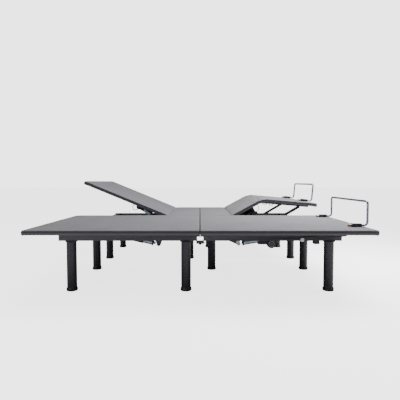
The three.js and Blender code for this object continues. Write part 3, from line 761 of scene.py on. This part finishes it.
def covers(base):
    back, thigh = rest_lift(base, "back_lift"), rest_lift(base, "thigh_lift")
    knee = RATIOS[f"{base}_knee"] * thigh
    head_fold, leg_fold, knee_fold = (-HINGE_X, HINGE_Z), (HINGE_X, HINGE_Z), (KNEE_X, KNEE_Z)

    def head_bend(v):
        return fold_turn(v.x, head_fold, back, -1) @ v

    def foot_bend(v):
        bent = arc_point(v, knee_fold, knee, KNEE_REACH) if v.x > MID_THIGH else v
        return fold_turn(v.x, leg_fold, -thigh, 1) @ bent

    back_crease, thigh_crease = CREASE_DEPTH if back else 0.0, CREASE_DEPTH if thigh else 0.0
    head = cover_mesh(-LENGTH / 2, -SEAM_HALF, -HINGE_X, FOLD_REACH, back_crease, "nose", "seam")
    make_cover(base, "head_cover", head, head_bend, ["back_deck", "seat_deck_head"])
    seat = cover_mesh(SEAM_HALF, MID_THIGH, HINGE_X, FOLD_REACH, thigh_crease, "seam", "flush")
    make_cover(base, "seat_cover", seat, foot_bend, ["seat_deck_foot"])
    foot = cover_mesh(MID_THIGH + SEAM_HALF, LENGTH / 2, KNEE_X, KNEE_REACH, 0.0, "flush", "nose")
    make_cover(base, "foot_cover", foot, foot_bend, ["thigh_deck", "calf_deck"])


# ---- Frames: the CAD bodies with rounded edges ----

def rounded_copy(node, body, width):
    """The CAD node's own steel shape, its flat faces merged and its edges rounded, standing for that node."""
    source = frame["nodes"][node]
    bm = bmesh.new()
    bm.from_mesh(source.data)
    bmesh.ops.remove_doubles(bm, verts=bm.verts, dist=0.00002)
    bmesh.ops.dissolve_limit(bm, angle_limit=math.radians(1.0), verts=bm.verts, edges=bm.edges)
    mesh = bpy.data.meshes.new(node)
    bm.to_mesh(mesh)
    bm.free()
    mesh.materials.clear()
    mesh.materials.append(POWDER_COAT)
    piece = bpy.data.objects.new(f"{node}_finish", mesh)
    bpy.context.scene.collection.objects.link(piece)
    bevel = piece.modifiers.new("rounded", "BEVEL")
    bevel.width, bevel.segments, bevel.limit_method = width * MM, 2, "ANGLE"
    bevel.angle_limit = math.radians(40)
    bevel.use_clamp_overlap = True
    smooth_shaded(piece, 30)
    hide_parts(node)
    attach(piece, body)


def frames(base):
    for half in ("head_frame", "foot_frame"):
        rounded_copy(f"{base}_{half}", "frame", 1.2)
    for section in ("back", "thigh", "calf"):
        rounded_copy(f"{base}_{section}_lift_frame", f"{base}_{section}", 0.9)
    for side in SIDES:
        rounded_copy(f"{base}_strut_{side}", f"{base}_struts", 0.7)


def across_rail(y, half, x0, x1, inset, radius):
    """A rounded block in a rail's cross-section, inset from the rail's top and bottom."""
    return rounded_box(x0, x1, y - half, y + half, RAIL_BOTTOM + inset, RAIL_TOP - inset, radius)


def end_caps(base):
    """Black plugs in the open ends of the rails."""
    for side, sign in SIDES.items():
        for x, out in ((-RAIL_END, -1), (RAIL_END, 1), (-RAIL_INNER_END, 1), (RAIL_INNER_END, -1)):
            cap = across_rail(sign * RAIL_Y, 14.6, *sorted((x, x + out * 2.4)), 0.4, 1.0)
            plug = across_rail(sign * RAIL_Y, 12.6, *sorted((x - out * 18, x + out * 0.5)), 2.4, 0.8)
            name = f"rail_cap_{side}_{x:.0f}".replace("-", "m")
            place(name, joined(cap, plug), CAP_PLASTIC, base, "frame", "motor_plastic")


def legs(base):
    """Round legs with a foot cap below and a flange above, as (radius, height) outlines."""
    foot = [(0, 0.0), (31, 0), (34, 3), (34, 15), (32.5, 18.5), (30, 22)]
    flange = [(30, UNDER_RAIL - 6), (36, UNDER_RAIL - 5), (36, UNDER_RAIL), (0, UNDER_RAIL)]
    for name, (x, y) in LEG_PLACES.items():
        bm = lathe(softened(foot + flange, 1.6), 64)
        place(f"{name}_turned", moved(bm, Matrix.Translation((x, y, 0))), LEG_GLOSS, base, "frame",
              "leg_plastic", [name])


def joining_brackets(base):
    """The channel that ties the two frame halves, its two clamp bolts and its knob."""
    bottom = UNDER_RAIL - 12
    for side, sign in SIDES.items():
        y = sign * RAIL_Y
        strip = rounded_box(-24, 24, y - 13, y + 13, bottom, UNDER_RAIL, 1.4)
        knob = lathe(softened([(0, -15), (6, -13.5), (9, -10), (9, -5), (5, -2), (5, 3), (0, 3)], 1.5), 32)
        moved(knob, Matrix.Translation((0, y, bottom)))
        place(f"joining_bracket_{side}_plate", joined(strip, knob), POWDER_COAT, base, "frame", "frame_paint",
              [f"joining_bracket_{side}"])
        for letter, x in (("a", -15), ("b", 15)):
            place(f"joining_bolt_{side}_{letter}", hexagon_down(x, y, bottom, 13, 6), CAP_PLASTIC, base,
                  "frame", "motor_plastic")


BOX_X, BOX_Y, BOX_HEIGHT = (690, 724), (-297, -256), 20


def control_box(base):
    """The power box under the near rail: a split moulded case with ribs below and its socket at the back."""
    (x0, x1), (y0, y1), top = BOX_X, BOX_Y, UNDER_RAIL
    lower = rounded_box(x0, x1, y0, y1, top - BOX_HEIGHT, top - 8, 2.5, 3)
    upper = rounded_box(x0 + 1, x1 - 1, y0 + 1, y1 - 1, top - 7.4, top, 1.5)
    neck = rounded_box(x0 + 2.5, x1 - 2.5, y0 + 3, y1 - 3, top - 9, top - 6, 0.8)
    ribs = []
    for i in range(5):
        rib = x0 + 5 + 6 * i
        ribs.append(rounded_box(rib, rib + 2.2, y0 + 7, y1 - 8, top - BOX_HEIGHT - 0.6, top - 18, 0.4))
    collar = rounded_box(x0 + 9, x1 - 9, y1 - 2, y1 + 0.8, top - 15, top - 5, 0.8)
    place("control_box_case", joined(lower, upper, neck, collar, *ribs), MOTOR_PLASTIC, base, "frame",
          "motor_plastic", ["control_box"])


# ---- Actuators ----

def ring_points(x, z, radius, count, first=0.0):
    """Evenly spaced XZ points on a circle."""
    angles = [2 * math.pi * k / count + first for k in range(count)]
    return [(x + radius * math.cos(angle), z + radius * math.sin(angle)) for angle in angles]


def gear_case(pivot, gear, radius, half):
    """A gear case with a raised rim and a ring of screws on both faces."""
    x, z = pivot[0] + gear[0], pivot[1] + gear[1]
    body = axle(x, z, -half, half, radius, 3.0, 56)
    step = axle(x, z, -half - 1.6, half + 1.6, radius * 0.86, 1.2, 48)
    tail = link_plate(pivot, (x, z), 28, -half + 0.5, half - 0.5)
    screws = [axle(*point, -half - 2.6, half + 2.6, 2.2, 0.5, 12)
              for point in ring_points(x, z, radius * 0.74, 6, 0.3)]
    return joined(body, step, tail, *screws)


# The ring on a gear case, as (radius as a share of the case's, height) pairs.
BADGE_RING = ((0.46, 0), (0.60, 0), (0.58, 1.8), (0.48, 1.8), (0.46, 0))


def gear_highlight_badge(pivot, gear, radius, half):
    """The pressed ring and hub on both faces of a gear case. Their lighter colour is a painted rim highlight."""
    x, z = pivot[0] + gear[0], pivot[1] + gear[1]
    parts = []
    for sign in (-1, 1):
        hub = lathe(softened([(0, 0), (radius * 0.30, 0), (radius * 0.24, 3.2), (0, 3.6)], 0.8), 32)
        ring = lathe([(radius * share, height) for share, height in BADGE_RING], 40)
        outward = Matrix.Rotation(-sign * math.pi / 2, 4, "X")
        turned = Matrix.Translation((x, sign * (half + 1.5), z)) @ outward
        parts += [moved(hub, turned), moved(ring, turned)]
    return joined(*parts)


def link_plate(start, end, width, y0, y1, radius=0.8):
    """A flat bar with round ends between two XZ points."""
    way = Vector((end[0] - start[0], end[1] - start[1]))
    heading = math.atan2(way.y, way.x)
    outline = []
    for (cx, cz), first in ((start, math.pi / 2), (end, -math.pi / 2)):
        for i in range(13):
            angle = heading + first + math.pi * i / 12
            outline.append((cx + width / 2 * math.cos(angle), cz + width / 2 * math.sin(angle)))
    return plate(outline, y0, y1, radius)


# housing, tube, rod and neck are distances from the pivot along the actuator; clamps are spans of it.
# pod is the space of a block beside the housing, from the pivot, as (x0, x1, z0, z1). hangs_on is the
# section that carries the hanger, and bolt is the metal of the bolt through the rod's anchor.
ACTUATORS = {
    "back": dict(pivot=BACK_PIVOT, anchor=BACK_ANCHOR, gear=(-8, 2), gear_radius=28, motor=(46, 0),
                 motor_radius=22, housing=182, tube=257, rod=66, neck=44, clamps=((118, 186),), pod=None,
                 hangs_on="back", bolt=BLACK_OXIDE),
    "leg": dict(pivot=LEG_PIVOT, anchor=LEG_ANCHOR, gear=(-2, -37), gear_radius=32, motor=(-2, -42),
                motor_radius=24, housing=90, tube=203, rod=102, neck=88, clamps=(), pod=(-96, -30, -42, -16),
                hangs_on="thigh", bolt=ZINC),
}
CASE_HALF, MOTOR_LENGTH, MOTOR_SINK = 21.0, 78.0, 8.0
SHELL_HALF = CASE_HALF - 2.8
POD_HALF = 17
ROD_STOP, ROD_BORE, ROD_RADIUS = 22.0, 9.6, 8.8
HANGER_FACE, LEVER_FACE = 32, 19
LEG_LEVER_BOLT = (256, 254)
BACK_CHEEK = [(-303, 306), (-250, 306), (-270, 234), (-277, 228), (-286, 232)]
CHEEK_THICKNESS = 2.6


def motor_can(x, z, radius):
    """The motor beside a gear case: a ribbed can with a stepped end."""
    y0, y1 = CASE_HALF - MOTOR_SINK, CASE_HALF + MOTOR_LENGTH
    length = y1 - y0
    wide, waist = radius - 0.5, radius - 2.5
    outline = [(0, 0), (wide, 0), (wide, 19), (waist, 20), (waist, length - 16), (wide, length - 15),
               (wide, length - 4), (radius - 5, length), (0, length)]
    can = lathe(softened(outline, 1.2), 48)
    moved(can, Matrix.Translation((x, y0, z)) @ Matrix.Rotation(-math.pi / 2, 4, "X"))
    ribs = [axle(*point, y0 + 22, y1 - 17, 1.5, 0.5, 10) for point in ring_points(x, z, radius - 2.2, 10)]
    return joined(can, *ribs)


def sleeve(pivot, anchor, start, end, radius, bevel=1.2):
    """A round sleeve over the push rod, from one distance to another along the actuator."""
    outline = [(ROD_BORE, start), (radius - bevel, start), (radius, start + bevel), (radius, end - bevel),
               (radius - bevel, end), (ROD_BORE, end), (ROD_BORE, start)]
    return shaft(pivot, anchor, outline)


def actuator_housing(base, kind, a):
    """The gear case, motor, neck and pod in one moulding, and the lighter rings on the gear case, which are a
    painted rim highlight.
    """
    pivot, neck_end = a["pivot"], a["neck"]
    case = gear_case(pivot, a["gear"], a["gear_radius"] - 1.0, SHELL_HALF)
    can = motor_can(pivot[0] + a["motor"][0], pivot[1] + a["motor"][1], a["motor_radius"])
    neck = [(0, 8), (19, 8), (20, 14), (20, neck_end - 6), (18, neck_end), (0, neck_end)]
    parts = [case, can, shaft(pivot, a["anchor"], softened(neck, 1.5))]
    if a["pod"]:
        x0, x1, z0, z1 = a["pod"]
        parts.append(rounded_box(pivot[0] + x0, pivot[0] + x1, -POD_HALF, POD_HALF,
                                 pivot[1] + z0, pivot[1] + z1, 5.0, 3))
    place(f"{kind}_motor_housing", joined(*parts), MOTOR_PLASTIC, base, f"{kind}_motor", "motor_plastic",
          [f"{kind}_motor"])
    # Painted rim highlight: the ring and hub in a lighter plastic.
    place(f"{kind}_gear_badge", gear_highlight_badge(pivot, a["gear"], a["gear_radius"], SHELL_HALF), RIM_HIGHLIGHT_PLASTIC, base,
          f"{kind}_motor", "motor_plastic")


def actuator_tubes(base, kind, a):
    """The bright guide tube, its dark end ring and clamps, and the push rod."""
    pivot, anchor, end = a["pivot"], a["anchor"], a["tube"]
    tubes = [sleeve(pivot, anchor, a["neck"] - 3, a["housing"], 19)] if a["housing"] > a["neck"] + 5 else []
    tubes.append(sleeve(pivot, anchor, a["housing"] - 3, end - 6, 17))
    place(f"{kind}_guide_tube", joined(*tubes), TUBE_ALUMINIUM, base, f"{kind}_motor", "rod_steel")
    rings = [sleeve(pivot, anchor, end - 9, end, 20)]
    rings += [sleeve(pivot, anchor, *span, 20.5) for span in a["clamps"]]
    place(f"{kind}_tube_rings", joined(*rings), CAP_PLASTIC, base, f"{kind}_motor", "motor_plastic")
    tip = (Vector(anchor) - Vector(pivot)).length - ROD_STOP
    outline = [(0, a["rod"]), (ROD_RADIUS, a["rod"]), (ROD_RADIUS, tip - 4), (7.2, tip), (0, tip)]
    place(f"{kind}_push_rod_ground", shaft(pivot, anchor, softened(outline, 0.8)), ROD_STEEL, base,
          f"{kind}_rod", "rod_steel", [f"{kind}_push_rod"])


def actuator_bolts(base, kind, a):
    """The bolts at both ends of an actuator, the leg lever's clamp bolt or the back lever's cheek plates."""
    place(f"{kind}_hanger_bolt", hexagon_pair(*a["pivot"], HANGER_FACE, 12), BLACK_OXIDE, base, a["hangs_on"],
          "rod_steel")
    anchor_bolt = joined(hexagon_pair(*a["anchor"], LEVER_FACE, 13), axle(*a["anchor"], -14, 14, 7.5, 1.0))
    place(f"{kind}_anchor_bolt", anchor_bolt, a["bolt"], base, "frame", "rod_steel")
    if kind == "leg":
        clamp_bolt = hexagon_pair(*LEG_LEVER_BOLT, LEVER_FACE, 13)
        place("leg_lever_bolt", clamp_bolt, ZINC, base, "frame", "rod_steel")
        return
    inner = LEVER_FACE + 0.4
    outer = inner + CHEEK_THICKNESS
    cheeks = joined(plate(BACK_CHEEK, inner, outer), plate(BACK_CHEEK, -outer, -inner))
    place("back_lever_cheeks", cheeks, POWDER_COAT, base, "frame", "frame_paint")


def actuator(base, kind):
    a = ACTUATORS[kind]
    actuator_housing(base, kind, a)
    actuator_tubes(base, kind, a)
    actuator_bolts(base, kind, a)


# ---- Retainer bar ----

def socket_clip(y):
    """The clip that holds a foot of the retainer bar: a block on a screwed flange."""
    x0, x1 = SOCKET_X
    block = rounded_box(x0, x1, y - SOCKET_HALF, y + SOCKET_HALF,
                        DECK_TOP + GAP, DECK_TOP + SOCKET_HEIGHT, 5.0, 4)
    flange = rounded_box(x0 + 4, x1 - 4, y - 17, y + 17, DECK_TOP + 0.1, DECK_TOP + 3, 1.0)
    screws = []
    for x in (x0 + 12, x1 - 12):
        for across in (-14, 14):
            screw = lathe(softened([(0, 0), (3, 0), (2.6, 1.4), (0, 1.6)], 0.3), 20)
            screws.append(moved(screw, Matrix.Translation((x, y + across, DECK_TOP + 2.8))))
    return joined(block, flange, *screws)


def retainer(base):
    """The bent bar, its two socket clips and its copper tips."""
    loop = [(BAR_START, BAR_Z), (BAR_X, BAR_Z), (BAR_X, BAR_TOP)]
    corners = [(x, -BAR_HALF, z) for x, z in loop] + [(x, BAR_HALF, z) for x, z in reversed(loop)]
    bar = tube(smooth_points(corners, BAR_BEND, 12), BAR_RADIUS, 24)
    place("retainer_bar_bent", bar, RETAINER_STEEL, base, "retainer", "retainer_chrome", ["retainer_bar"])
    for side, sign in SIDES.items():
        y = sign * BAR_HALF
        place(f"retainer_socket_{side}_block", socket_clip(y), CAP_PLASTIC, base, "calf", "motor_plastic",
              [f"retainer_socket_{side}"])
        tip = lathe(softened([(0, -2), (5.4, -2), (8.0, 2), (8.0, 19), (0, 19)], 0.8), 28)
        moved(tip, Matrix.Translation((BAR_START - 1, y, BAR_Z)) @ Matrix.Rotation(math.pi / 2, 4, "Y"))
        place(f"retainer_tip_{side}", tip, COPPER, base, "retainer", "retainer_chrome")


# ---- Bolts and small fittings on the frames ----

RIVET_PLACES = (-RAIL_END + 22, -300, -60, 60, 300, RAIL_END - 22)


def fittings(base):
    """Strut bolts and rail rivets."""
    middle = (RAIL_TOP + RAIL_BOTTOM) / 2
    for side, sign in SIDES.items():
        face, outer = sign * (RAIL_Y + RAIL_HALF), sign * STRUT_OUTER
        place(f"strut_bolt_{side}", hexagon(*STRUT_FOOT, outer + sign * GAP, sign, 13), ZINC, base, "frame",
              "rod_steel")
        place(f"strut_top_bolt_{side}", hexagon(*STRUT_HEAD, outer, sign, 9, 3), BLACK_OXIDE, base, "struts",
              "rod_steel")
        for x in RIVET_PLACES:
            dome = lathe([(0, 0), (4.5, 0), (4.2, 1.2), (2.8, 2.2), (0, 2.6)], 20)
            angle = -math.pi / 2 if sign > 0 else math.pi / 2
            moved(dome, Matrix.Translation((x, face, middle)) @ Matrix.Rotation(angle, 4, "X"))
            place(f"rail_rivet_{side}_{x}".replace("-", "m"), dome, POWDER_COAT, base, "frame", "frame_paint")


def lead(name, base, section, points, material, radius=2.6):
    place(name, tube(spline(points), radius, 12), material, base, section, "motor_plastic")


def leads(base):
    """Motor leads, clipped to the lift frames that carry the motors, with their slack in loops."""
    lead("back_motor_lead", base, "back", [
        (-534, 99, 312), (-542, 118, 314), (-556, 126, 326), (-562, 134, 340), (-540, 150, 344),
        (-500, 190, 344), (-450, 250, 344)], CABLE_RUBBER)
    lead("back_slack_loop", base, "back", [
        (-578, -20, 342), (-602, -24, 336), (-622, -26, 318), (-631, -26, 296), (-624, -24, 276),
        (-606, -22, 266), (-588, -20, 274), (-580, -16, 290)], PALE_SHEATH, 3.2)
    lead("leg_motor_lead", base, "thigh", [
        (470, 60, 272), (450, 70, 298), (438, 86, 322), (446, 110, 340), (470, 150, 344), (500, 210, 344),
        (510, 250, 344)], CABLE_RUBBER)
    lead("leg_slack_loop", base, "thigh", [
        (496, -24, 262), (520, -26, 258), (540, -26, 276), (548, -25, 300), (538, -24, 322), (524, -22, 336),
        (510, -20, 344)], PALE_SHEATH, 3.0)
    lead("calf_lead", base, "calf", [
        (600, -150, 352), (612, -152, 340), (632, -150, 334), (652, -150, 340), (660, -150, 352),
        (668, -150, 344), (684, -150, 330), (700, -150, 332), (708, -150, 344), (704, -150, 356)],
         PALE_SHEATH, 3.0)


def build(base):
    covers(base)
    frames(base)
    end_caps(base)
    legs(base)
    joining_brackets(base)
    control_box(base)
    actuator(base, "back")
    actuator(base, "leg")
    retainer(base)
    fittings(base)
    leads(base)


camera()
studio()
for base_name in SIDES:
    build(base_name)
for end in ("head", "foot"):
    rounded_copy(f"link_bar_{end}", "frame", 0.6)
